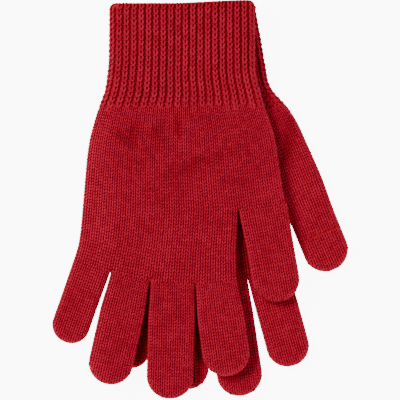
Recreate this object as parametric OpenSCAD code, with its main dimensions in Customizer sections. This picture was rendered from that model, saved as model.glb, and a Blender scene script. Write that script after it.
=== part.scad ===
// A pair of knitted touchscreen gloves lying flat, one on top of the other.
// Millimetres, +Z up, cuffs toward +Y, fingers toward -Y, thumbs toward +X.

/* [Cuff] */
// Width of the ribbed cuff
cuff_w = 84; // [70:1:100]
// Length of the ribbed cuff, its bound edge included
cuff_len = 59; // [40:1:80]
// Length of the bound edge at the cuff's mouth
hem_len = 3; // [2:0.5:6]

/* [Hand] */
// Width across the four finger roots
knuckle_w = 93.5; // [78:0.5:112]
// Length from the end of the rib to the middle finger's root
hand_len = 98; // [80:1:120]
// Thickness of one glove lying flat
glove_t = 7.6; // [7.2:0.1:10]
// Thickness of the knitted fabric
wall = 1.5; // [1:0.1:2]

/* [Digits] */
// Length of the little finger
little_len = 47.5; // [38:0.5:58]
// Length of the ring finger
ring_len = 64.5; // [52:0.5:78]
// Length of the middle finger
middle_len = 67.9; // [55:0.5:82]
// Length of the index finger
index_len = 55.6; // [45:0.5:68]
// Length of the thumb
thumb_len = 56.5; // [45:0.5:68]
// Length of the conductive zone at the index and thumb tips
touch_len = 22; // [14:1:30]

/* [How the pair lies] */
// Turn of the lower glove under the upper one
fan_angle = 11; // [0:0.5:20]
// How far the lower glove sits back along its own length
lower_slide = 9; // [6:0.5:16]
// Space between the two gloves
stack_gap = 0.3; // [0.2:0.1:1]

/* [Hidden] */
$fn = 48;
root_gap = 0.4;
side_gap = 0.6;
cave_t = glove_t - 2 * wall;
upper_z = glove_t + stack_gap;

// Each digit: root x and y as shares of the hand, angle, length, width
digits = [
  [-0.554, 0.927, -19.5, little_len, 0.231 * knuckle_w],
  [-0.317, 0.985, -12.7, ring_len, 0.248 * knuckle_w],
  [-0.057, 1.020, -1.7, middle_len, 0.267 * knuckle_w],
  [0.210, 1.016, 7.8, index_len, 0.257 * knuckle_w],
  [0.497, 0.578, 10.2, thumb_len, 0.282 * knuckle_w]
];
// The lower glove's digits: change of root y, angle and length
settle = [[-6.5, -1.9, 2], [-6.5, 3.3, -1], [-6.5, -0.5, 0], [-6.5, -4.7, 1], [-11, 0.5, -2]];
none = [[0, 0, 0], [0, 0, 0], [0, 0, 0], [0, 0, 0], [0, 0, 0]];
// Room behind each root, more where a digit turns about its own middle
upper_room = [root_gap, root_gap, root_gap, root_gap, root_gap];
lower_room = [root_gap, root_gap, 1.2, root_gap, root_gap];

function root_x(k) = digits[k][0] * knuckle_w;
function root_y(k, s) = -cuff_len - digits[k][1] * hand_len - s[k][0];
function aim(k, s) = digits[k][2] + s[k][1];
function reach(k, s) = digits[k][3] + s[k][2];
function across(k) = digits[k][4];

// The centre of a digit's round end, in its glove's frame
function end_x(k, s) = root_x(k) + (reach(k, s) - across(k) / 2) * sin(aim(k, s));
function end_y(k, s) = root_y(k, s) - (reach(k, s) - across(k) / 2) * cos(aim(k, s));

// The middle of the whole outline, from the tips that reach farthest
slid_y = end_y(4, settle) - lower_slide;
high_x = end_x(4, settle) * cos(fan_angle) - slid_y * sin(fan_angle) + across(4) / 2;
low_x = end_x(0, none) - across(0) / 2;
low_y = end_y(2, none) - across(2) / 2;
mid_x = (high_x + low_x) / 2;
mid_y = low_y / 2;

// Sections of the hand: share of its length, left and right edge as shares of its width
hand_rows = [
  [0, -0.509, 0.511], [0.07, -0.54, 0.541], [0.165, -0.564, 0.567], [0.32, -0.584, 0.600],
  [0.47, -0.595, 0.623], [0.62, -0.606, 0.655], [0.78, -0.628, 0.670], [0.90, -0.660, 0.680],
  [1.08, -0.700, 0.690]
];
// Sections of the cuff: share of its length, share of the widening to the hand
cuff_rows = [[0, 0], [0.6, 0], [0.75, 0.23], [0.88, 0.56], [1, 1]];

// Points of a flat tube's round-edged section, from x = a to x = b, at one y
function section(a, b, y, t, lift) = concat(
  [for (k = [0:8]) [a + t / 2 - t / 2 * sin(180 * k / 8), y, lift + t / 2 - t / 2 * cos(180 * k / 8)]],
  [for (k = [0:8]) [b - t / 2 + t / 2 * sin(180 * k / 8), y, lift + t / 2 + t / 2 * cos(180 * k / 8)]]
);

// A flat tube through rows of [left, right, y]
module loft(rows, t, lift) {
  n = 18;
  last = len(rows) - 1;
  points = [for (r = rows) each section(r[0], r[1], r[2], t, lift)];
  sides = [for (j = [0:last - 1]) for (k = [0:n - 1])
    [j * n + k, j * n + (k + 1) % n, (j + 1) * n + (k + 1) % n, (j + 1) * n + k]];
  near = [[for (k = [0:n - 1]) n - 1 - k]];
  far = [[for (k = [0:n - 1]) last * n + k]];
  polyhedron(points = points, faces = concat(sides, near, far));
}

// A flat tube's section with round edges
module flat_oval(w, t) {
  square([w - t, t], center = true);
  translate([(w - t) / 2, 0]) circle(d = t);
  translate([(t - w) / 2, 0]) circle(d = t);
}

// A solid digit from its root at the origin toward -Y, standing on z = 0
module digit_body(length, w, t) {
  straight = length - w / 2;
  translate([0, 0, t / 2]) {
    rotate([90, 0, 0]) linear_extrude(straight) flat_oval(w, t);
    translate([0, -straight, 0]) rotate([0, 0, 180]) rotate_extrude(angle = 180)
      intersection() {
        flat_oval(w, t);
        translate([0, -t]) square([w, 2 * t]);
      }
  }
}

// A digit's knitted tube, open at its root
module digit_shell(length, w) {
  difference() {
    digit_body(length, w, glove_t);
    translate([0, 1, wall]) digit_body(length + 1 - wall, w - 2 * wall, cave_t);
  }
}

// One digit at its place, from depth a to depth b along its length
module digit(k, s, a, b) {
  translate([root_x(k), root_y(k, s), 0]) rotate([0, 0, aim(k, s)])
    intersection() {
      digit_shell(reach(k, s), across(k));
      translate([-across(k), -b, -1]) cube([2 * across(k), b - a, glove_t + 2]);
    }
}

// What a digit takes from the hand's lower edge
module root_cut(k, s, room) {
  half = across(k) / 2 + side_gap;
  deep = 0.25 * knuckle_w;
  translate([root_x(k), root_y(k, s), -1]) rotate([0, 0, aim(k, s)]) linear_extrude(glove_t + 2)
    polygon([[-half, room], [-half, 0], [-half - 6, -deep], [half + 6, -deep], [half, 0], [half, room]]);
}

// What is left open beside the hand, under the thumb's root
module side_cut(s, room, inset) {
  turn = aim(4, s);
  half = across(4) / 2 + side_gap;
  x0 = root_x(4) - half * cos(turn) - room * sin(turn);
  y0 = root_y(4, s) - half * sin(turn) + room * cos(turn);
  x1 = root_x(3) + across(3) / 2 * cos(aim(3, s));
  y1 = root_y(3, s) - 20;
  far = knuckle_w;
  translate([0, 0, -1]) linear_extrude(glove_t + 2) polygon([
    [x0 - inset, y0 - inset * tan(turn)], [x1 - inset, y1], [far, y1],
    [far, y0 + (far - x0) * tan(turn)]
  ]);
}

function hand_path(s, inset, more) = [for (r = hand_rows)
  [r[1] * knuckle_w + inset, r[2] * knuckle_w - inset,
   -cuff_len - r[0] * (hand_len + s[1][0]) + (r[0] == 0 ? more : 0) - (r[0] > 1 ? more : 0)]];

module hand(s, rooms) {
  difference() {
    loft(hand_path(s, 0, 0), glove_t, 0);
    difference() {
      loft(hand_path(s, wall, 1), cave_t, wall);
      side_cut(s, rooms[4], wall);
    }
    side_cut(s, rooms[4], 0);
    for (k = [0:3]) root_cut(k, s, rooms[k]);
  }
}

function cuff_path(inset, more) = [for (r = cuff_rows)
  let (half = cuff_w / 2 + r[1] * (0.51 * knuckle_w - cuff_w / 2) - inset)
  [-half, half, r[0] == 0 ? more - hem_len : (r[0] == 1 ? -more - cuff_len : -r[0] * cuff_len)]];

module cuff() {
  difference() {
    loft(cuff_path(0, 0), glove_t, 0);
    loft(cuff_path(wall, 1), cave_t, wall);
  }
}

module hem() {
  translate([0, 0, glove_t / 2]) rotate([90, 0, 0]) linear_extrude(hem_len) difference() {
    flat_oval(cuff_w, glove_t);
    flat_oval(cuff_w - 2 * wall, cave_t);
  }
}

// Places of the two gloves
module in_upper() { translate([-mid_x, -mid_y, upper_z]) children(); }
module in_lower() {
  translate([-mid_x, -mid_y, 0]) rotate([0, 0, fan_angle]) translate([0, -lower_slide, 0]) children();
}

far_end = 200;
function touch_from(k, s) = reach(k, s) - touch_len;

module upper_hem() { color("#8f1722") in_upper() hem(); }
module upper_cuff() { color("#961822") in_upper() cuff(); }
module upper_hand() { color("#a01824") in_upper() hand(none, upper_room); }
module upper_little() { color("#a31a26") in_upper() digit(0, none, 0, far_end); }
module upper_ring() { color("#a01824") in_upper() digit(1, none, 0, far_end); }
module upper_middle() { color("#a31a26") in_upper() digit(2, none, 0, far_end); }
module upper_index() { color("#a01824") in_upper() digit(3, none, 0, touch_from(3, none)); }
module upper_index_tip() { color("#ab1f2c") in_upper() digit(3, none, touch_from(3, none), far_end); }
module upper_thumb() { color("#a01824") in_upper() digit(4, none, 0, touch_from(4, none)); }
module upper_thumb_tip() { color("#ab1f2c") in_upper() digit(4, none, touch_from(4, none), far_end); }
module lower_hem() { color("#8f1722") in_lower() hem(); }
module lower_cuff() { color("#961822") in_lower() cuff(); }
module lower_hand() { color("#a01824") in_lower() hand(settle, lower_room); }
module lower_little() { color("#a31a26") in_lower() digit(0, settle, 0, far_end); }
module lower_ring() { color("#a01824") in_lower() digit(1, settle, 0, far_end); }
module lower_middle() { color("#a31a26") in_lower() digit(2, settle, 0, far_end); }
module lower_index() { color("#a01824") in_lower() digit(3, settle, 0, touch_from(3, settle)); }
module lower_index_tip() { color("#ab1f2c") in_lower() digit(3, settle, touch_from(3, settle), far_end); }
module lower_thumb() { color("#a01824") in_lower() digit(4, settle, 0, touch_from(4, settle)); }
module lower_thumb_tip() { color("#ab1f2c") in_lower() digit(4, settle, touch_from(4, settle), far_end); }

upper_hem();
upper_cuff();
upper_hand();
upper_little();
upper_ring();
upper_middle();
upper_index();
upper_index_tip();
upper_thumb();
upper_thumb_tip();
lower_hem();
lower_cuff();
lower_hand();
lower_little();
lower_ring();
lower_middle();
lower_index();
lower_index_tip();
lower_thumb();
lower_thumb_tip();
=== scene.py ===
import math

import bmesh
import bpy
import numpy as np
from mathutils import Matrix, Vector


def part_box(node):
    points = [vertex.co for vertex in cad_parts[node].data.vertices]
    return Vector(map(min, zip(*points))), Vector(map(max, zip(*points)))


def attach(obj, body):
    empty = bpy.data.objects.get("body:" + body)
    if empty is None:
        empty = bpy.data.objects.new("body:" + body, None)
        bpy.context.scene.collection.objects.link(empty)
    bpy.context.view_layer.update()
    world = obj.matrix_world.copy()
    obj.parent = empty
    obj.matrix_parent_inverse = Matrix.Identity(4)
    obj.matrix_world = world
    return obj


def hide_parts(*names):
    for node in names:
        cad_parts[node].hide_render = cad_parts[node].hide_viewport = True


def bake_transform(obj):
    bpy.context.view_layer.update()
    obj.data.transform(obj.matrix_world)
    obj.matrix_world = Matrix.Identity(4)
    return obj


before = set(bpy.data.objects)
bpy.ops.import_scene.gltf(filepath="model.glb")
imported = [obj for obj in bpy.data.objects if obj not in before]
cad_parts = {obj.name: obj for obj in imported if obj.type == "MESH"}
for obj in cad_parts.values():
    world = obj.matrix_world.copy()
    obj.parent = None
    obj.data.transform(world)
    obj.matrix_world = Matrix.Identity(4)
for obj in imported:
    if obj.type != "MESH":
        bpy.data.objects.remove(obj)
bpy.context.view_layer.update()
print("frame loaded")

mm = 0.001

# How the fabric is made: sizes in millimetres
knit = {
    "wale": 2.8,          # width of a plain stitch
    "course": 1.86,       # height of a plain stitch
    "rib": 4.33,          # from one rib to the next
    "ribCourse": 2.97,    # height of a rib stitch
    "half": 3.08,         # half the thickness of a glove
    "round": 4.6,         # how far from the outline the face starts to round off
    "edge": 0.30,         # how far the yarn's middle stays inside the outline
    "inset": 0.3,         # how deep the fabric behind the yarn lies
    "relief": 0.5,        # how far plain stitches stand out, as a share
    "fingerRows": {"upper": 52, "lower": 49},  # rows of stitches from the ribs to the fingers
    "thumbRows": {"upper": 32, "lower": 26},   # and to the thumb
    "rootDepth": 0.8,     # how far the hand's stitches reach into the digits
    "digitCourse": 1.79,  # height of a digit's stitch
    "swell": 0.15,        # how far a digit's fabric reaches past its yarn's middle
    "touchLength": 22.0,  # length of the conductive tips
    "handGap": 0.7,       # how far from the outline the hand's stitches stop
    "digitGap": 0.45,     # and those of a digit
    "rimWidth": 2.6,      # width of the stitches on a glove's round side
    "rimRelief": 0.4,     # how far they stand out, as a share
    "stretch": 1.3,       # the most that a slope widens a stitch
    "outlineStep": 1.5,   # between two points of the outline
    "seed": 7,
}

# The mouth of a cuff in mm: it runs up a little to the right and has round corners
mouth = {
    "left": 1.2,         # y of its left and right end
    "right": 2.9,
    "corner": 3.4,       # radius of the corners
    "straight": 38.0,    # where they start, from the middle
    "low": 1.1,          # y at the left, and how much more it is at the right
    "rise": 1.8,
    "riseStart": -8,     # x where the rise starts, and how long it is
    "riseReach": 48,
}

# The two gloves, each in its own frame: y = 0 at the cuff's mouth, fingers toward -y.
# left, right and side are points (y, x) of the edges; side is the index finger's side of the hand.
# A digit has x and y of its root, its angle in degrees, its length, and its width at the root and farther on.
ribEnd = -59.0
gloves = {
    "upper": {
        "left": [(0, -41.9), (-20, -42), (-34, -42.3), (-41, -43.1), (-46, -43.8), (-51, -44.9), (-55, -46.7),
                 (-59.5, -48.4), (-64, -50.0), (-68.5, -51.2), (-73, -52.5), (-78, -53.7), (-87, -55.0),
                 (-100, -56.2), (-114, -57.4), (-128, -58.6), (-137, -59.8), (-142, -61.2), (-147, -62.7),
                 (-153, -64.3), (-170, -69.8)],
        "right": [(0, 41.9), (-20, 42), (-38, 42.2), (-45.4, 43.7), (-50, 45.2), (-58.7, 47.7), (-66, 50.4),
                  (-73, 52.9), (-81, 54.6), (-90, 55.8), (-105, 58.1), (-120, 61.0), (-135, 64)],
        "side": [(-118.2, 32.5), (-128, 32.0), (-140, 31.3), (-157, 31.7), (-175, 32.6)],
        "digits": {
            "little": (-51.8, -149.8, -19.5, 47.2, 22.7, 22.3),
            "ring": (-29.6, -155.5, -12.7, 64.2, 23.3, 25.9),
            "middle": (-5.3, -159.0, -1.7, 67.6, 25.6, 27.2),
            "index": (19.6, -158.6, 7.8, 55.2, 24.6, 27.6),
            "thumb": (46.5, -115.6, 10.2, 56.0, 28.4, 27.4),
        },
    },
    "lower": {
        "left": [(0, -41.9), (-20, -42), (-34, -42.3), (-41, -43.1), (-46, -43.8), (-51, -44.9), (-55, -46.7),
                 (-59.5, -48.4), (-64, -50.0), (-68.5, -51.2), (-73, -52.3), (-78, -53.4), (-87, -54.6),
                 (-98, -55.8), (-110, -56.9), (-122, -58.0), (-131, -59.2), (-136, -60.9), (-141, -62.4),
                 (-147, -64.0), (-164, -69.5)],
        "right": [(0, 41.4), (-20, 41.0), (-38, 40.5), (-45, 40.6), (-50, 42.4), (-55.5, 45.7), (-61, 49.5),
                  (-71, 53.1), (-81, 55.4), (-92, 58.0), (-101, 60.0), (-110, 61.7), (-125, 64.4)],
        "side": [(-107, 32.5), (-118, 32.0), (-132, 31.3), (-149, 31.7), (-167, 32.6)],
        "digits": {
            "little": (-52.0, -142.8, -21.9, 51.1, 22.7, 22.8),
            "ring": (-29.9, -148.6, -8.9, 61.3, 23.3, 26.2),
            "middle": (-5.6, -151.9, -2.6, 66.9, 25.6, 26.6),
            "index": (19.1, -151.4, 4.3, 56.1, 24.6, 25.0),
            "thumb": (46.4, -104.4, 11.2, 54.1, 28.0, 26.4),
        },
    },
}
digitNames = ["little", "ring", "middle", "index", "thumb"]
lowerTurn = 11      # degrees


# x as a smooth function of y through the given points.
def smoothEdge(pairs):
    ys = np.arange(8, -185, -0.5)
    given = sorted(pairs)
    xs = np.interp(ys, [p[0] for p in given], [p[1] for p in given])
    window = 17
    kernel = np.hanning(window)
    kernel /= kernel.sum()
    pad = window // 2
    padded = np.concatenate([np.full(pad, xs[0]), xs, np.full(pad, xs[-1])])
    xs = np.convolve(padded, kernel, "valid")
    return lambda y: np.interp(-np.asarray(y, float), -ys, xs)


# How far the cuff's rounded corner draws in near the mouth, which ends at top.
def cornerPull(y, top):
    r = mouth["corner"]
    t = np.clip(np.asarray(y, float) - top + r, 0, r)
    return r - np.sqrt(np.maximum(r * r - t * t, 0))


class Glove:
    def __init__(self, name):
        self.name = name
        facts = gloves[name]
        low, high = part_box(name + "_hem")
        middle = (low + high) / 2
        self.turn = 0.0 if name == "upper" else math.radians(lowerTurn)
        c, s = math.cos(self.turn), math.sin(self.turn)
        self.rotation = np.array([[c, -s], [s, c]])
        # The hem's middle lies 1.5 mm behind the mouth
        self.origin = np.array([middle.x, middle.y]) / mm + self.rotation @ np.array([0, 1.5])
        self.zMid = middle.z / mm
        leftOf, rightOf, self.side = (smoothEdge(facts[k]) for k in ("left", "right", "side"))
        pad = knit["edge"]
        self.left = lambda y: leftOf(y) + pad + cornerPull(y, mouth["left"])
        self.right = lambda y: rightOf(y) - pad - cornerPull(y, mouth["right"])
        self.sideEdge = lambda y: self.side(y) - pad
        self.crotchY = facts["side"][0][0]
        self.digits = {n: Digit(*facts["digits"][n]) for n in digitNames}
        self.makeOutline()

    def toRow(self, xy):
        return xy @ self.rotation.T + self.origin

    def makeOutline(self):
        first = self.digits["little"].outline()
        step = knit["outlineStep"]
        ys = np.arange(mouth["left"], first[0, 1], -step)
        rim = {"left": np.stack([self.left(ys), ys], 1)}
        chain = [rim["left"]]
        for name in digitNames[:4]:
            rim[name] = self.digits[name].outline()
            chain.append(rim[name])
        thumb = self.digits["thumb"].outline()
        ys = np.arange(rim["index"][-1, 1] + step, thumb[0, 1] - 1, step)
        rim["side"] = np.stack([self.sideEdge(ys), ys], 1)
        ys = np.arange(thumb[-1, 1] + 1, mouth["right"] + 0.1, 1.0)
        rim["right"] = np.stack([self.right(ys), ys], 1)
        rim["thumb"] = thumb
        chain += [rim["side"], thumb, rim["right"]]
        self.rim = rim
        self.outline = np.concatenate(chain)

    def distance(self, xy):
        a, b = self.outline[:-1], self.outline[1:]
        d = b - a
        length = np.maximum((d * d).sum(1), 1e-9)
        out = np.empty(len(xy))
        for i in range(0, len(xy), 2000):
            p = xy[i:i + 2000]
            t = np.clip(((p[:, None] - a[None]) * d[None]).sum(2) / length, 0, 1)
            gap = p[:, None] - (a[None] + t[..., None] * d[None])
            out[i:i + 2000] = np.sqrt((gap * gap).sum(2).min(1))
        return out


class Digit:
    def __init__(self, x, y, angle, length, rootWidth, width):
        self.root = np.array([x, y])
        self.angle = math.radians(angle)
        self.length, self.rootWidth, self.width = length, rootWidth, width
        self.ahead = np.array([math.sin(self.angle), -math.cos(self.angle)])
        self.across = np.array([math.cos(self.angle), math.sin(self.angle)])

    # Half width before the tip rounds off, s along the digit.
    def bodyHalf(self, s):
        t = np.clip(np.asarray(s, float) / 25, 0, 1)
        t = t * t * (3 - 2 * t)
        return (self.rootWidth + (self.width - self.rootWidth) * t) / 2 - knit["edge"]

    def half(self, s):
        r = self.width / 2
        t = np.clip((np.asarray(s, float) - (self.length - r)) / r, 0, 1)
        return self.bodyHalf(s) * np.sqrt(np.maximum(1 - t ** 2.15, 0))

    def place(self, x, s):
        return self.root + np.outer(s, self.ahead) + np.outer(x, self.across)

    def local(self, xy):
        q = xy - self.root
        return q @ self.across, q @ self.ahead

    def outline(self):
        r = self.width / 2
        end = self.length - knit["edge"]
        straight = np.arange(0, end - r, knit["outlineStep"])
        turn = end - r + r * np.sin(np.linspace(0, math.pi / 2, 18))
        s = np.concatenate([straight, turn])
        left = self.place(-self.half(s * self.length / end), s)
        right = self.place(self.half(s * self.length / end), s)
        return np.concatenate([left, right[::-1][1:]])


pair = {name: Glove(name) for name in gloves}
print("outlines made")


# Slight unevenness of the fabric, in mm.
def waves(xy):
    x, y = xy[:, 0], xy[:, 1]
    return (0.10 * np.sin(x / 9.1 + 1.3 * np.sin(y / 17)) + 0.08 * np.sin(y / 11.3 + 0.9 * np.sin(x / 13) + 2)
            + 0.05 * np.sin(x / 4.7 - y / 6.9))


# Short folds: glove, x, y, angle in degrees, half length, half width, depth
folds = [
    ("upper", -28, -74, 8, 5.5, 2.6, 1.7), ("upper", -2, -70, -3, 5.5, 1.7, 1.6),
    ("upper", -33, -77, -50, 6, 2.5, 0.8), ("upper", -14, -74, 10, 8, 4, 0.6),
    ("upper", 4, -93, 65, 16, 4, 0.6), ("upper", 22, -88, 60, 9, 4, 0.4),
    ("lower", 47, -76, 14, 9, 3.2, 1.3), ("lower", 44, -84, 30, 7, 3, 0.9),
]


# How deep the folds are at points of a glove; narrow makes them slimmer.
def foldDepth(glove, xy, narrow=1.0):
    out = np.zeros(len(xy))
    for name, x, y, angle, reach, width, depth in folds:
        if name == glove.name:
            a = math.radians(angle)
            q = xy - np.array([x, y])
            along = q @ np.array([math.sin(a), math.cos(a)])
            across = q @ np.array([math.cos(a), -math.sin(a)])
            out += depth * np.exp(-(along / reach) ** 2 - (across / width / narrow) ** 2)
    return out


lowerGlove = pair["lower"]
edgeY = np.arange(2, -168, -2.0)
supportEdge = lowerGlove.toRow(np.stack([lowerGlove.left(edgeY), edgeY], 1))
littleSide = lowerGlove.toRow(lowerGlove.digits["little"].outline()[:26])
supportEdge = np.concatenate([supportEdge[supportEdge[:, 1] > littleSide[0, 1]], littleSide])


# How the gloves lie, in mm
lie = {
    "hang": 7.4,       # how far the upper glove hangs down beside the lower one
    "hangStart": 3,    # where that starts, outside the lower glove's edge
    "hangReach": 26,   # and how far from there it is down
    "table": 0.95,     # lowest middle of the lower glove's yarn
    "crown": 0.25,     # how much fuller the middle of a face is than its borders
}


# How far the upper glove hangs down where the lower one doesn't hold it.
def sag(rowXY):
    order = np.argsort(-supportEdge[:, 1])
    edgeX = np.interp(-rowXY[:, 1], -supportEdge[order, 1], supportEdge[order, 0])
    out = np.clip((edgeX - lie["hangStart"] - rowXY[:, 0]) / lie["hangReach"], 0, 1)
    return -lie["hang"] * out * out * (3 - 2 * out)


# Points of a glove's face in the row frame, in mm. side is 1 on top and -1 below.
def surface(glove, xy, side, inset=0.0):
    d = glove.distance(xy)
    c, b = knit["round"], knit["half"]
    t = np.clip(1 - d / c, 0, 1)
    height = b * np.sqrt(1 - t * t) + lie["crown"] * (1 - np.exp(-np.maximum(d - c, 0) / 7))
    height = np.maximum(height - inset, 0) if inset else height
    middle = np.full(len(xy), glove.zMid)
    middle += waves(xy + (0 if glove.name == "upper" else 40)) * np.clip(d / 8, 0, 1)
    if side > 0:
        height = height - foldDepth(glove, xy)
    row = glove.toRow(xy)
    if glove.name == "upper":
        middle = middle + sag(row)
    z = middle + side * height
    # The lower glove lies flat on the table
    if glove.name == "lower":
        z = np.maximum(z, lie["table"])
    return np.column_stack([row, z])


# Position, outward direction and wale direction of stitches on a face.
def frameAt(glove, xy, alongXY, side):
    e = 0.25
    n = alongXY / np.linalg.norm(alongXY, axis=1, keepdims=True)
    across = np.stack([-n[:, 1], n[:, 0]], 1)
    stacked = np.concatenate([xy, xy + n * e, xy - n * e, xy + across * e, xy - across * e])
    p, f, g, l, r = np.split(surface(glove, stacked, side), 5)
    du, dv = f - g, l - r
    out = np.cross(du, dv)
    out *= np.sign(out[:, 2:3]) * side
    return p, unit(out), unit(du), np.linalg.norm(du, axis=1) / (2 * e), np.linalg.norm(dv, axis=1) / (2 * e)


def unit(v):
    return v / np.maximum(np.linalg.norm(v, axis=1, keepdims=True), 1e-9)


# Points for one piece: place, outward and wale directions, size in mm and shadow of each stitch.
class Stitches:
    def __init__(self):
        self.rows = []

    def add(self, p, out, along, width, height, depth, shadow=0.0):
        n = len(p)
        size = np.column_stack([np.broadcast_to(v, n) for v in (width, height, depth, shadow)])
        self.rows.append(np.concatenate([p, out, along, size], 1))

    def all(self):
        return np.concatenate(self.rows)


def addFace(st, glove, xy, alongXY, side, width, height, depth, gap):
    keep = glove.distance(xy) > gap
    if not keep.any():
        return
    width, height = (np.broadcast_to(v, len(xy))[keep] for v in (width, height))
    p, out, along, stretchAlong, stretchAcross = frameAt(glove, xy[keep], alongXY[keep], side)
    # Stitches in a fold are painted darker by the fold's depth: painted shade
    shadow = foldDepth(glove, xy[keep], 0.8) if side > 0 else 0.0
    width = width * np.minimum(stretchAcross, knit["stretch"])
    height = height * np.minimum(stretchAlong, knit["stretch"])
    st.add(p, out, along, width, height, depth, shadow)


# Wales that run along the glove's edge, on its round side.
def addRim(st, glove, line, angles, pitch, width, depth):
    steps = np.concatenate([[0], np.cumsum(np.linalg.norm(np.diff(line, axis=0), axis=1))])
    count = max(2, int(steps[-1] / pitch))
    at = (np.arange(count) + 0.5) * steps[-1] / count
    xy, ahead, behind = (np.stack([np.interp(at + e, steps, v) for v in line.T], 1) for e in (0, 0.8, -0.8))
    ahead = unit(ahead - behind)
    # The outline goes round with the fabric on its left
    outward = np.stack([ahead[:, 1], -ahead[:, 0]], 1)
    towardCuff = np.where(ahead[:, 1:2] > 0, 1, -1) * ahead
    row, out2, along2 = glove.toRow(xy), outward @ glove.rotation.T, towardCuff @ glove.rotation.T
    drop = sag(row) if glove.name == "upper" else 0
    b, c = knit["half"], knit["round"]
    row = row - out2 * 0.15
    for angle in angles:
        a = math.radians(angle)
        z = np.full(count, glove.zMid) + drop + math.sin(a) * b
        p = np.column_stack([row - out2 * (1 - math.cos(a)) * c, z])
        out = np.column_stack([out2 * math.cos(a) / c, np.full(count, math.sin(a) / b)])
        along = np.column_stack([along2, np.zeros(count)])
        st.add(p, unit(out), unit(along), width, steps[-1] / count, depth)


# The shapes of the stitches, in shares of width and height; z stands out of the fabric
stitchShapes = {
    "plain": {"size": (2.8, 1.86), "yarn": 0.60, "flat": 0.8, "sides": 6,
              "path": [(0.10, -0.62, -0.5), (0.25, 0.05, 0.38), (0.35, 0.62, -0.5)]},
    "rib": {"size": (3.5, 2.97), "yarn": 0.77, "flat": 0.78, "sides": 6,
            "path": [(0.06, -0.66, -0.55), (0.16, -0.25, 0.35), (0.30, 0.25, 0.40), (0.27, 0.66, -0.55)]},
    "edge": {"size": (1.5, 2.3), "yarn": 0.42, "flat": 0.8, "sides": 5,
             "path": [(0.14, -0.72, -0.16), (0.28, 0.0, 0.10), (0.24, 0.72, -0.16)]},
    "purl": {"size": (1.6, 2.97), "yarn": 0.50, "flat": 0.9, "sides": 5, "single": True,
             "path": [(-0.62, -0.1, -0.5), (-0.3, 0.18, 0.0), (0.3, 0.18, 0.0), (0.62, -0.1, -0.5)]},
}


def makeStitch(name):
    facts = stitchShapes[name]
    w, h = facts["size"]
    sides, yarn = facts["sides"], facts["yarn"]
    verts, faces, uvs = [], [], []
    for mirror in ((1,) if facts.get("single") else (1, -1)):
        line = np.array([(x * w * mirror, y * h, z) for x, y, z in facts["path"]])
        ahead = unit(np.gradient(line, axis=0))
        side = unit(np.cross(ahead, [0, 0, 1]))
        up = np.cross(side, ahead)
        start = len(verts)
        n = len(line)
        for k in range(n):
            r = yarn * (0.72 if k in (0, n - 1) else 1)
            for j in range(sides):
                a = 2 * math.pi * (j + 0.5) / sides
                verts.append(line[k] + r * math.cos(a) * side[k] + r * facts["flat"] * math.sin(a) * up[k])
        for k in range(n - 1):
            for j in range(sides):
                j2 = (j + 1) % sides
                faces.append([start + k * sides + j, start + k * sides + j2,
                              start + (k + 1) * sides + j2, start + (k + 1) * sides + j])
                uvs.append([(j / sides, k / n), ((j + 1) / sides, k / n),
                            ((j + 1) / sides, (k + 1) / n), (j / sides, (k + 1) / n)])
        for k, order in ((0, -1), (n - 1, 1)):
            ring = [start + k * sides + j for j in range(sides)][::order]
            faces.append(ring)
            uvs.append([(0.5, k / n)] * sides)
    mesh = bpy.data.meshes.new(name + "Stitch")
    mesh.from_pydata([tuple(v * mm) for v in verts], [], faces)
    layer = mesh.uv_layers.new(name="yarn")
    layer.data.foreach_set("uv", [c for f in uvs for uv in f for c in uv])
    bm = bmesh.new()
    bm.from_mesh(mesh)
    bmesh.ops.recalc_face_normals(bm, faces=bm.faces)
    bm.to_mesh(mesh)
    bm.free()
    mesh.polygons.foreach_set("use_smooth", [True] * len(mesh.polygons))
    thing = bpy.data.objects.new(name + "Stitch", mesh)
    return thing


class Tree:
    # A geometry or shader tree with one way of adding a node
    def __init__(self, tree):
        self.tree = tree

    def node(self, kind, settings=None, inputs=None):
        made = self.tree.nodes.new(kind)
        for key, value in (settings or {}).items():
            setattr(made, key, value)
        for key, value in (inputs or {}).items():
            socket = made.inputs[key]
            value = getattr(value, "socket", value)
            if isinstance(value, bpy.types.NodeSocket):
                self.tree.links.new(value, socket)
            else:
                socket.default_value = value
        return made

    def value(self, made, out=0):
        return Val(self, made.outputs[out])


class Val:
    # A socket that can be used in sums
    def __init__(self, tree, socket):
        self.tree, self.socket = tree, socket

    def join(self, operation, other, swap=False):
        a, b = (other, self) if swap else (self, other)
        return self.tree.value(self.tree.node("ShaderNodeMath", {"operation": operation}, {0: a, 1: b}))

    def __add__(self, other): return self.join("ADD", other)
    def __radd__(self, other): return self.join("ADD", other)
    def __sub__(self, other): return self.join("SUBTRACT", other)
    def __rsub__(self, other): return self.join("SUBTRACT", other, True)
    def __mul__(self, other): return self.join("MULTIPLY", other)
    def __rmul__(self, other): return self.join("MULTIPLY", other)


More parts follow.
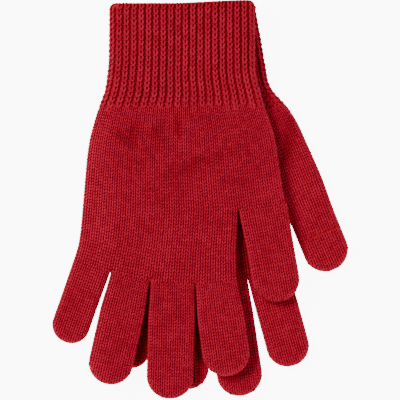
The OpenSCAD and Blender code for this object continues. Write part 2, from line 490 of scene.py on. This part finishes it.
def knitTree():
    group = bpy.data.node_groups.new("layStitches", "GeometryNodeTree")
    face = group.interface
    face.new_socket("Geometry", in_out="INPUT", socket_type="NodeSocketGeometry")
    for name, kind in (("Stitch", "NodeSocketObject"), ("Wobble", "NodeSocketFloat"),
                       ("Unevenness", "NodeSocketFloat"), ("Seed", "NodeSocketInt"),
                       ("Yarn", "NodeSocketMaterial")):
        face.new_socket(name, in_out="INPUT", socket_type=kind)
    face.new_socket("Geometry", in_out="OUTPUT", socket_type="NodeSocketGeometry")
    t = Tree(group)
    given = t.node("NodeGroupInput")
    read = {name: t.node("GeometryNodeInputNamedAttribute", {"data_type": "FLOAT_VECTOR"}, {"Name": name})
            for name in ("outward", "along", "size")}
    points = t.node("GeometryNodeMeshToPoints", None, {"Mesh": given.outputs["Geometry"]})
    turn = t.node("FunctionNodeAxesToRotation", {"primary_axis": "Z", "secondary_axis": "Y"},
                  {"Primary Axis": read["outward"].outputs[0], "Secondary Axis": read["along"].outputs[0]})
    wobble = t.node("FunctionNodeRandomValue", {"data_type": "FLOAT"},
                    {"Seed": given.outputs["Seed"]})
    low = t.value(given, "Wobble") * -1
    t.tree.links.new(low.socket, wobble.inputs[2])
    t.tree.links.new(given.outputs["Wobble"], wobble.inputs[3])
    spin = t.node("FunctionNodeAxisAngleToRotation", None,
                  {"Axis": (0, 0, 1), "Angle": wobble.outputs[1]})
    turned = t.node("FunctionNodeRotateRotation", {"rotation_space": "LOCAL"},
                    {"Rotation": turn.outputs[0], "Rotate By": spin.outputs[0]})
    swell = t.node("FunctionNodeRandomValue", {"data_type": "FLOAT"},
                   {"Seed": (t.value(given, "Seed") + 1)})
    t.tree.links.new((1 - t.value(given, "Unevenness")).socket, swell.inputs[2])
    t.tree.links.new((1 + t.value(given, "Unevenness")).socket, swell.inputs[3])
    size = t.node("ShaderNodeVectorMath", {"operation": "SCALE"},
                  {0: read["size"].outputs[0], "Scale": swell.outputs[1]})
    shape = t.node("GeometryNodeObjectInfo", None, {"Object": given.outputs["Stitch"]})
    laid = t.node("GeometryNodeInstanceOnPoints", None,
                  {"Points": points.outputs[0], "Instance": shape.outputs["Geometry"],
                   "Rotation": turned.outputs[0], "Scale": size.outputs[0]})
    real = t.node("GeometryNodeRealizeInstances", None, {"Geometry": laid.outputs[0]})
    done = t.node("GeometryNodeSetMaterial", None,
                  {"Geometry": real.outputs[0], "Material": given.outputs["Yarn"]})
    t.node("NodeGroupOutput", None, {0: done.outputs[0]})
    return group


layStitches = knitTree()
stitchObjects = {name: makeStitch(name) for name in stitchShapes}
rng = np.random.default_rng(knit["seed"])


# How unevenly stitches are laid, in radians and as a share, and how much darker a fold's stitches are
# painted, as painted shade in the fold
laying = {"wobble": 0.07, "unevenness": 0.07, "shade": 2.2}


# Turns rows of stitches into one plain mesh
def layRows(name, kind, rows, material):
    base = bpy.data.meshes.new(name)
    n = len(rows)
    base.from_pydata([tuple(p) for p in rows[:, :3] * mm], [], [])
    w, h = stitchShapes[kind]["size"]
    scale = rows[:, 9:12] / np.array([w, h, 1.0])
    for key, data in (("outward", rows[:, 3:6]), ("along", rows[:, 6:9]), ("size", scale)):
        layer = base.attributes.new(key, "FLOAT_VECTOR", "POINT")
        layer.data.foreach_set("vector", data.astype(np.float32).ravel())
    # Each stitch's random tone, less the painted shade of the folds
    toneAndFoldShade = base.attributes.new("toneAndFoldShade", "FLOAT", "POINT")
    toneAndFoldShade.data.foreach_set("value", (rng.random(n) - laying["shade"] * rows[:, 12]).astype(np.float32))
    thing = bpy.data.objects.new(name, base)
    bpy.context.scene.collection.objects.link(thing)
    modifier = thing.modifiers.new("stitches", "NODES")
    modifier.node_group = layStitches
    sockets = {i.name: i.identifier for i in layStitches.interface.items_tree
               if i.item_type == "SOCKET" and i.in_out == "INPUT"}
    for key, value in (("Stitch", stitchObjects[kind]), ("Wobble", laying["wobble"]),
                       ("Unevenness", laying["unevenness"]), ("Seed", knit["seed"]), ("Yarn", material)):
        modifier[sockets[key]] = value
    graph = bpy.context.evaluated_depsgraph_get()
    mesh = bpy.data.meshes.new_from_object(thing.evaluated_get(graph), preserve_all_data_layers=True,
                                           depsgraph=graph)
    bpy.data.objects.remove(thing)
    mesh.name = name
    for key in ("outward", "along", "size"):
        if key in mesh.attributes:
            mesh.attributes.remove(mesh.attributes[key])
    made = bpy.data.objects.new(name, mesh)
    bpy.context.scene.collection.objects.link(made)
    return made


# A sheet of quads from a grid of points, in mm
def gridMesh(name, sheets, material):
    verts, faces = [], []
    for grid, flip in sheets:
        rows, cols = grid.shape[:2]
        start = len(verts)
        verts += [tuple(p * mm) for p in grid.reshape(-1, 3)]
        for r in range(rows - 1):
            for c in range(cols - 1):
                quad = [start + r * cols + c, start + r * cols + c + 1,
                        start + (r + 1) * cols + c + 1, start + (r + 1) * cols + c]
                faces.append(quad[::-1] if flip else quad)
    mesh = bpy.data.meshes.new(name)
    mesh.from_pydata(verts, [], faces)
    mesh.materials.append(material)
    bm = bmesh.new()
    bm.from_mesh(mesh)
    bmesh.ops.remove_doubles(bm, verts=bm.verts, dist=0.00002)
    loose = [v for v in bm.verts if not v.link_faces]
    bmesh.ops.delete(bm, geom=loose, context="VERTS")
    bm.to_mesh(mesh)
    bm.free()
    mesh.polygons.foreach_set("use_smooth", [True] * len(mesh.polygons))
    made = bpy.data.objects.new(name, mesh)
    bpy.context.scene.collection.objects.link(made)
    return made


# Yarn and the fabric behind it
fibres = {
    "patches": 55.0,      # scale of the darker and lighter patches
    "fuzz": 1900.0,       # scale of the single fibres
    "plies": 2,           # round the yarn, and turns along a stitch
    "turns": 5,
    "bump": 0.5,
    "bumpHeight": 0.00012,
    "shine": 0.12,
}
yarns = {
    "plainYarn": {"dark": (0.33, 0.0035, 0.017, 1), "light": (0.53, 0.0085, 0.037, 1), "rough": 0.80},
    "ribYarn": {"dark": (0.31, 0.003, 0.016, 1), "light": (0.47, 0.009, 0.036, 1), "rough": 0.86},
    "edgeYarn": {"dark": (0.27, 0.002, 0.010, 1), "light": (0.48, 0.005, 0.024, 1), "rough": 0.82},
    "touchYarn": {"dark": (0.335, 0.0035, 0.017, 1), "light": (0.54, 0.009, 0.038, 1), "rough": 0.72},
    # The cuff's inside: the yarn painted much darker, as painted shade inside the glove
    "shadedInside": {"dark": (0.10, 0.001, 0.003, 1), "light": (0.16, 0.001, 0.005, 1), "rough": 0.95},
    "plainBacking": {"dark": (0.40, 0.003, 0.015, 1), "light": (0.52, 0.006, 0.025, 1), "rough": 0.95},
    "ribBacking": {"dark": (0.42, 0.003, 0.016, 1), "light": (0.55, 0.006, 0.026, 1), "rough": 0.95},
}


def yarnMaterial(name):
    facts = yarns[name]
    made = bpy.data.materials.new(name)
    made.use_nodes = True
    made.node_tree.nodes.clear()
    t = Tree(made.node_tree)
    where = t.node("ShaderNodeTexCoord")
    patch = t.node("ShaderNodeTexNoise", None,
                   {"Vector": where.outputs["Object"], "Scale": fibres["patches"], "Detail": 3.0,
                    "Roughness": 0.6})
    fibre = t.node("ShaderNodeTexNoise", None,
                   {"Vector": where.outputs["Object"], "Scale": fibres["fuzz"], "Detail": 2.0})
    shade = t.value(patch) * 0.8 + t.value(fibre) * 0.35 - 0.22
    height = t.value(fibre)
    if name.endswith("Yarn"):
        # The stitch's random tone, darkened by the folds' painted shade
        toneAndFoldShade = t.node("ShaderNodeAttribute", {"attribute_name": "toneAndFoldShade"})
        shade = shade + t.value(toneAndFoldShade, "Fac") * 0.45 - 0.1
        uv = t.node("ShaderNodeUVMap", {"uv_map": "yarn"})
        split = t.node("ShaderNodeSeparateXYZ", None, {0: uv.outputs[0]})
        twist = (t.value(split, 0) * fibres["plies"] + t.value(split, 1) * fibres["turns"]) * (2 * math.pi)
        ply = t.value(t.node("ShaderNodeMath", {"operation": "SINE"}, {0: twist}))
        height = height * 0.6 + ply * 0.5
        # The plies' crests are painted a little lighter and the grooves between them darker: painted light
        # and shade
        shade = shade + ply * 0.05
    colour = t.node("ShaderNodeMix", {"data_type": "RGBA"}, {0: shade, 6: facts["dark"], 7: facts["light"]})
    bump = t.node("ShaderNodeBump", None, {"Height": height, "Strength": fibres["bump"],
                                              "Distance": fibres["bumpHeight"]})
    skin = t.node("ShaderNodeBsdfPrincipled", None,
                  {"Base Color": colour.outputs[2], "Roughness": facts["rough"], "Normal": bump.outputs[0],
                   "Specular IOR Level": fibres["shine"]})
    t.node("ShaderNodeOutputMaterial", None, {"Surface": skin.outputs[0]})
    return made


skins = {name: yarnMaterial(name) for name in yarns}
print("stitches and yarns ready")

# Columns across a face of the hand, and the share of them that goes on into the fingers
handColumns, fingerShare = 42, 32 / 42


# Across the hand, s goes from 0 on the left to 1 on the right; the fingers have the first fingerShare
def handX(glove, s, y):
    wide = glove.left(y) + s * (glove.right(y) - glove.left(y))
    narrow = glove.left(y) + s / fingerShare * (glove.sideEdge(y) - glove.left(y))
    return np.where((y < glove.crotchY) & (s <= fingerShare), narrow, wide)


# Where the column at s across the hand ends, at the root of a digit
def rootY(glove, s):
    line = []
    for name in (digitNames[:4] if s <= fingerShare else ["thumb"]):
        d = glove.digits[name]
        reach = d.rootWidth / 2 - 0.3
        line += [d.place([v], [knit["rootDepth"]])[0] for v in (-reach, reach)]
    line = np.array(line)
    end = line[:, 1].min()
    for _ in range(5):
        end = np.interp(float(handX(glove, s, np.array(end))), line[:, 0], line[:, 1])
    return end


def handStitches(glove, side):
    st = Stitches()
    for i in range(handColumns):
        s = (i + 0.5) / handColumns
        start = ribEnd + rng.uniform(0.6, 2.6)
        # Every column has as many rows as its neighbours, so the rows meet those of the digits
        count = knit["fingerRows" if s <= fingerShare else "thumbRows"][glove.name]
        h = (start - rootY(glove, s)) / count
        y = start - h * (np.arange(count) + 0.5)
        along = np.stack([handX(glove, s, y + 1.5) - handX(glove, s, y - 1.5), np.full(count, 3.0)], 1)
        wide = np.abs(handX(glove, s + 0.5 / handColumns, y) - handX(glove, s - 0.5 / handColumns, y))
        addFace(st, glove, np.stack([handX(glove, s, y), y], 1), along, side, np.clip(wide, 2.0, 3.2), h,
                knit["relief"], knit["handGap"])
    return st


def digitStitches(glove, name, low, high):
    st = Stitches()
    digit = glove.digits[name]
    count = round(digit.width / knit["wale"])
    end = digit.length - knit["edge"]
    h = knit["digitCourse"]
    s = low + h * (np.arange(int((high - low) / h + 0.5)) + 0.5)
    s = s[s < end + 0.2]
    for side in (1, -1):
        for i in range(count):
            u = (i + 0.5) / count * 2 - 1
            x = u * digit.bodyHalf(s)
            xy = digit.place(x, s)
            inside = np.abs(x) < digit.half(s * digit.length / end) - 0.3
            if not inside.any():
                continue
            wide = digit.bodyHalf(s) * 2 / count
            along = np.tile(-digit.ahead, (len(s), 1))
            addFace(st, glove, xy[inside], along[inside], side, wide[inside], h, knit["relief"],
                    knit["digitGap"])
    return st


# The wales on a glove's round side, in degrees up or down from its middle
rimAngles = (-26, 0, 26)


# The part of an outline that lies between two distances along a digit
def rimPart(glove, name, low, high):
    digit = glove.digits[name]
    line = digit.outline()
    # Over the fingertip the wales run straight on, so the sides stop short of it
    high = min(high, digit.length - 0.62 * digit.width / 2)
    parts = []
    half = len(line) // 2
    for piece in (line[:half + 1], line[half:]):
        t = digit.local(piece)[1]
        ok = (t >= low - 0.8) & (t <= high + 0.8)
        if ok.sum() > 1:
            parts.append(piece[ok])
    return parts


# The ribs' measures in mm
ribs = {
    "count": 20,          # ribs on a face
    "halfWidth": 42.6,    # from the middle to the cuff's side
    "width": 3.45,        # width of a rib's stitches
    "depth": 0.72,        # how far they stand out, as a share
    "bar": 1.6,           # width of the bars between the ribs
    "barDepth": 0.38,     # how much deeper the bars lie where the ribs lie open
    "groove": 0.24,       # half as much as the fabric behind the yarn goes in between the ribs
    "uneven": 0.10,       # how far stitches stray sideways
    "endEarly": 3.2,      # how much sooner a rib may end, and how much later
    "endLate": 1.2,
    "closed": 0.3,        # share of the depth where the ribs lie closed
    "closedX": -44,       # x where they are closed, and how far from there they are open
    "openReach": 26,
}


# x at a share of the way from the cuff's middle to its side
def ribColumns(glove, y, shift):
    left, right = glove.left(y), glove.right(y)
    return (left + right) / 2 + shift * (right - left) / 2


# How deep the lines between the ribs are: near the left edge the ribs lie closed
def grooves(x):
    t = np.clip((np.asarray(x, float) - ribs["closedX"]) / ribs["openReach"], 0, 1)
    return ribs["closed"] + (1 - ribs["closed"]) * t * t * (3 - 2 * t)


# The mouth's corners are round
def cornerDrop(x):
    r = mouth["corner"]
    t = np.clip((np.abs(x) - mouth["straight"]) / r, 0, 1)
    return r * (1 - np.sqrt(1 - t * t * 0.98))


# Where the cuff's mouth lies: it runs up a little to the right
def mouthY(x):
    t = np.clip((np.asarray(x, float) - mouth["riseStart"]) / mouth["riseReach"], 0, 1)
    return mouth["low"] + mouth["rise"] * t * t * (3 - 2 * t)


# The chain of yarn round the mouth, which goes down at both corners to the glove's side
def addMouth(st, glove, side):
    w, h = stitchShapes["edge"]["size"]
    end, pitch = 41.3, 2.05
    x = np.linspace(-end, end, 900)
    t = np.clip(1 - (end + 0.3 - np.abs(x)) / knit["round"], 0, 1)
    up = np.sqrt(1 - t * t)
    line = surface(glove, np.stack([x, mouthY(x) - 0.45 - cornerDrop(x)], 1), side)
    line[:, 2] -= side * 0.45
    steps = np.concatenate([[0], np.cumsum(np.linalg.norm(np.diff(line, axis=0), axis=1))])
    count = round(steps[-1] / pitch)
    at = (np.arange(count) + 0.5) * steps[-1] / count
    p, ahead, behind = (np.stack([np.interp(at + e, steps, v) for v in line.T], 1) for e in (0, 0.6, -0.6))
    along = unit(ahead - behind)
    t, up, x = (np.interp(at, steps, v) for v in (t, up, x))
    # It faces away from the cuff, and a little up or down, or sideways at the corners
    out = np.column_stack([0.8 * np.sign(x) * t, np.ones(count)]) @ glove.rotation.T
    out = np.column_stack([out, 0.7 * side * up])
    out -= along * (out * along).sum(1)[:, None]
    st.add(p, unit(out), along, w, h, 1.0)


def cuffStitches(glove, node):
    raised, purls, edge = Stitches(), Stitches(), Stitches()
    halfWidth, count, h = ribs["halfWidth"], ribs["count"], knit["ribCourse"]
    for side in (1, -1):
        for i in range(count):
            shift = (i - (count - 1) / 2) * knit["rib"] / halfWidth
            top = mouthY(shift * halfWidth) - 0.85 - cornerDrop(shift * halfWidth)
            if node == "hem":
                rows = np.arange(1)
            else:
                # The ribs don't all end in the same row
                extra = rng.uniform(-ribs["endEarly"], ribs["endLate"])
                rows = np.arange(1, math.ceil((top - ribEnd + extra) / h))
            y = top - h * (rows + 0.5)
            x = ribColumns(glove, y, shift) + rng.uniform(-ribs["uneven"], ribs["uneven"], len(y))
            along = np.stack([ribColumns(glove, y + 1.5, shift) - ribColumns(glove, y - 1.5, shift),
                              np.full(len(y), 3.0)], 1)
            addFace(raised, glove, np.stack([x, y], 1), along, side, ribs["width"], h, ribs["depth"], 0.3)
            shift += knit["rib"] / 2 / halfWidth
            inner = np.stack([ribColumns(glove, y, shift), y - h / 2], 1)
            keep = glove.distance(inner) > 1.0
            if i < count - 1 and keep.any():
                p, out, wale = frameAt(glove, inner[keep], along[keep], side)[:3]
                deep = 0.2 + ribs["barDepth"] * grooves(inner[keep, :1])
                purls.add(p - out * deep, out, wale, ribs["bar"], h, 1.0)
        if node == "hem":
            addMouth(edge, glove, side)
    return raised, purls, edge


def dense(n):
    return np.sin(np.linspace(-math.pi / 2, math.pi / 2, n))


# The cuff's base: ribs stand out and the lines between them lie deeper
def cuffSheet(glove, ys, side, inset, ribbed=True):
    halfWidth = 41.4
    shifts = np.linspace(-1, 1, 161)
    shifts = np.sign(shifts) * (1 - (1 - np.abs(shifts)) ** 1.25)
    grid = np.empty((len(ys), len(shifts), 3))
    for k, y in enumerate(ys):
        yy = y + (mouthY(shifts * halfWidth) - 0.3) * np.clip(1 + y / 30, 0, 1)
        yy = yy - cornerDrop(shifts * halfWidth) * np.clip(1 + y / 6, 0, 1)
        x = ribColumns(glove, yy, shifts)
        phase = shifts * (halfWidth + 1.2) / knit["rib"]
        depth = inset + 0.05
        if ribbed:
            # The lines between the ribs run out toward the hand
            fade = np.clip((y + 61) / 9, 0.2, 1)
            depth = depth + ribs["groove"] * grooves(x) * fade * (1 + np.cos(2 * math.pi * phase))
        p = surface(glove, np.stack([x, yy], 1), side)
        mid = surface(glove, np.stack([x, yy], 1), -side)
        centre = (p + mid) / 2
        gap = np.abs(p[:, 2] - centre[:, 2])
        p[:, 2] = centre[:, 2] + side * np.maximum(gap - depth, 0)
        grid[k] = p
    return grid


def handSheets(glove, side, inset):
    sheets = []
    rows = 60
    for low, high, count in ((0, fingerShare, 56), (fingerShare, 1, 22)):
        shares = (dense(count) + 1) / 2 * 0.5 + np.linspace(0, 1, count) * 0.5
        grid = np.empty((rows, count, 2))
        for c, share in enumerate(shares):
            s = low + (high - low) * share
            y = np.linspace(ribEnd + 0.5, rootY(glove, s + (1e-6 if low else 0)), rows)
            grid[:, c] = np.stack([handX(glove, s, y), y], 1)
        sheets.append(surface(glove, grid.reshape(-1, 2), side, inset).reshape(rows, count, 3))
    return sheets


def digitSheet(glove, name, low, high, side, inset):
    digit = glove.digits[name]
    end = digit.length - knit["edge"]
    r = digit.width / 2
    s = np.arange(low, min(high, end - r), 1.6)
    if high > end - r:
        s = np.concatenate([s, end - r + r * np.sin(np.linspace(0, math.pi / 2, 16))])
        s[-1] = end - 0.001
    else:
        s = np.append(s, high)
    u = dense(23)
    half = digit.half(np.minimum(s * digit.length / end, digit.length))
    xy = np.array([digit.place(u * w, np.full(len(u), v)) for v, w in zip(s, half)])
    extra = np.repeat(np.clip(-s, 0, 9) * 0.3, len(u))
    p = surface(glove, xy.reshape(-1, 2), side, inset)
    p[:, 2] -= side * extra
    # The fabric itself reaches the outline, a little outside the yarn's middle
    swell = knit["swell"]
    wide = [w + swell * min(w, 3) / 3 for w in half]
    far = [v + swell * np.clip((v - end) / r + 1, 0, 1) for v in s]
    out = np.array([digit.place(u * w, np.full(len(u), v)) for v, w in zip(far, wide)])
    p[:, :2] = glove.toRow(out.reshape(-1, 2))
    return p.reshape(len(s), len(u), 3)


def place(obj, body, slot, *nodes):
    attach(obj, body)
    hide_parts(*nodes)


def point(glove, xy, z):
    row = glove.toRow(np.array([xy]))[0]
    return (row[0] * mm, row[1] * mm, z * mm)


# Two distances along a digit, in mm from its root; their points are worked out below, but nothing makes the
# knit follow the digit
bend = (-1.5, 9)
inset = knit["inset"]
for name, glove in pair.items():
    body = name + "_glove"
    # Cuff and hem
    hemY = [0.0, -1.0, -2.0, -3.0]
    cuffY = list(np.arange(-3.0, -60.5, -1.9)) + [-60.5]
    for node, ys, slot in (("hem", hemY, "edge_knit"), ("cuff", cuffY, "rib_knit")):
        sheets, inside = [], []
        for side in (1, -1):
            outer = cuffSheet(glove, ys, side, inset)
            inner = cuffSheet(glove, ys, side, inset + 0.9, False)
            sheets.append((outer, side > 0))
            inside.append((inner, side < 0))
            if node == "hem":
                sheets.append((np.stack([inner[0], outer[0]]), side > 0))
        # The inside sheets get the dark inside colour, which is painted shade
        for word, parts, skin in (("base", sheets, "ribBacking"), ("inside", inside, "shadedInside")):
            place(gridMesh(f"{name}_{node}_{word}", parts, skins[skin]), body, slot, f"{name}_{node}")
        raised, purls, edge = cuffStitches(glove, node)
        for border in ("left", "right"):
            line = glove.rim[border]
            line = line[(line[:, 1] <= ys[0] + 1) & (line[:, 1] >= ys[-1] + 0.5)]
            addRim(edge, glove, line, (-14, 14), 2.2, 2.2, 0.9)
        yarn = skins["edgeYarn" if node == "hem" else "ribYarn"]
        for word, kind, st in (("ribs", "rib", raised), ("edge", "edge", edge), ("purls", "purl", purls)):
            place(layRows(f"{name}_{node}_{word}", kind, st.all(), yarn), body, slot, f"{name}_{node}")
    # Hand
    sheets = []
    for side in (1, -1):
        sheets += [(grid, side > 0) for grid in handSheets(glove, side, inset)]
    place(gridMesh(f"{name}_hand_base", sheets, skins["plainBacking"]), body, "plain_knit", f"{name}_hand")
    for side, face in ((1, "back"), (-1, "palm")):
        st = handStitches(glove, side)
        if side > 0:
            left, right = (glove.rim[word][glove.rim[word][:, 1] < ribEnd] for word in ("left", "right"))
            for line in (left, glove.rim["side"], right):
                addRim(st, glove, line, rimAngles, knit["course"], knit["rimWidth"], knit["rimRelief"])
        place(layRows(f"{name}_hand_{face}", "plain", st.all(), skins["plainYarn"]),
              body, "plain_knit", f"{name}_hand")
    # Digits
    for finger in digitNames:
        digit = glove.digits[finger]
        limb = f"{name}_{finger}"
        root, pastTip = knit["rootDepth"], 99.0
        zones = [(root, pastTip, "", "plain_knit", "plainYarn")]
        if finger in ("index", "thumb"):
            cut = digit.length - knit["touchLength"]
            zones = [(root, cut, "", "plain_knit", "plainYarn"),
                     (cut, pastTip, "_tip", "touch_knit", "touchYarn")]
        for low, high, word, slot, yarn in zones:
            # The root's sheet reaches 3 mm into the hand
            sheetLow = low if word else -3
            sheets = [(digitSheet(glove, finger, sheetLow, high, side, inset), side > 0) for side in (1, -1)]
            base = gridMesh(f"{limb}{word}_base", sheets, skins["plainBacking"])
            st = digitStitches(glove, finger, low, min(high, digit.length))
            for line in rimPart(glove, finger, low, high):
                addRim(st, glove, line, rimAngles, knit["course"], knit["rimWidth"], knit["rimRelief"])
            knitted = layRows(f"{limb}{word}_knit", "plain", st.all(), skins[yarn])
            for piece in (base, knitted):
                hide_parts(limb + word)
                if word:
                    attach(piece, limb)
                else:
                    start, end = (point(glove, digit.place([0], [v])[0], glove.zMid) for v in bend)
                    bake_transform(piece)
    print(name, "glove knitted")

for thing in stitchObjects.values():
    bpy.data.objects.remove(thing)

# Floor, light and camera
studio = {
    "sky": 0.14,
    "key": {"at": (-1.65, 0.95, 1.85), "size": 1.4, "power": 94.0},
    "fill": {"at": (1.6, -1.3, 1.25), "size": 1.2, "power": 35.0},
    "floor": 0.88, "glow": 9.0, "bounce": 0.15,
    "viewWidth": 0.230, "viewDistance": 2.488,
}
plane = bpy.data.meshes.new("floor")
plane.from_pydata([(-3, -3, 0), (3, -3, 0), (3, 3, 0), (-3, 3, 0)], [], [(0, 1, 2, 3)])
floor = bpy.data.objects.new("floor", plane)
bpy.context.scene.collection.objects.link(floor)
floorPaint = bpy.data.materials.new("floorPaint")
floorPaint.use_nodes = True
floorSkin = floorPaint.node_tree.nodes["Principled BSDF"]
floorSkin.inputs["Base Color"].default_value = (studio["floor"],) * 3 + (1,)
floorSkin.inputs["Roughness"].default_value = 0.9
floorSkin.inputs["Emission Color"].default_value = (1, 1, 1, 1)
floorSkin.inputs["Emission Strength"].default_value = studio["glow"]
# The floor looks white, and throws less light on the gloves than it shows
floorTree = Tree(floorPaint.node_tree)
ray = floorTree.node("ShaderNodeLightPath")
tint = floorTree.node("ShaderNodeMix", {"data_type": "RGBA"},
                      {0: ray.outputs["Is Camera Ray"], 6: (studio["bounce"],) * 3 + (1,), 7: (1, 1, 1, 1)})
floorPaint.node_tree.links.new(tint.outputs[2], floorSkin.inputs["Emission Color"])
plane.materials.append(floorPaint)
world = bpy.data.worlds.new("studio")
bpy.context.scene.world = world
world.use_nodes = True
world.node_tree.nodes["Background"].inputs[0].default_value = (1, 1, 1, 1)
world.node_tree.nodes["Background"].inputs[1].default_value = studio["sky"]


def softLight(name):
    facts = studio[name]
    lamp = bpy.data.lights.new(name, "AREA")
    lamp.shape, lamp.size, lamp.energy = "DISK", facts["size"], facts["power"]
    thing = bpy.data.objects.new(name, lamp)
    thing.location = facts["at"]
    thing.rotation_euler = (-Vector(facts["at"])).to_track_quat("-Z", "Y").to_euler()
    bpy.context.scene.collection.objects.link(thing)
    return thing


softLight("key")
softLight("fill")

lens = bpy.data.cameras.new("camera")
lens.sensor_width = 36
lens.lens = lens.sensor_width * studio["viewDistance"] / studio["viewWidth"]
lens.clip_end = 20
camera = bpy.data.objects.new("camera", lens)
camera.location = (-0.0001, 0.0013, 2.5)
bpy.context.scene.collection.objects.link(camera)
bpy.context.scene.camera = camera
print("studio ready")
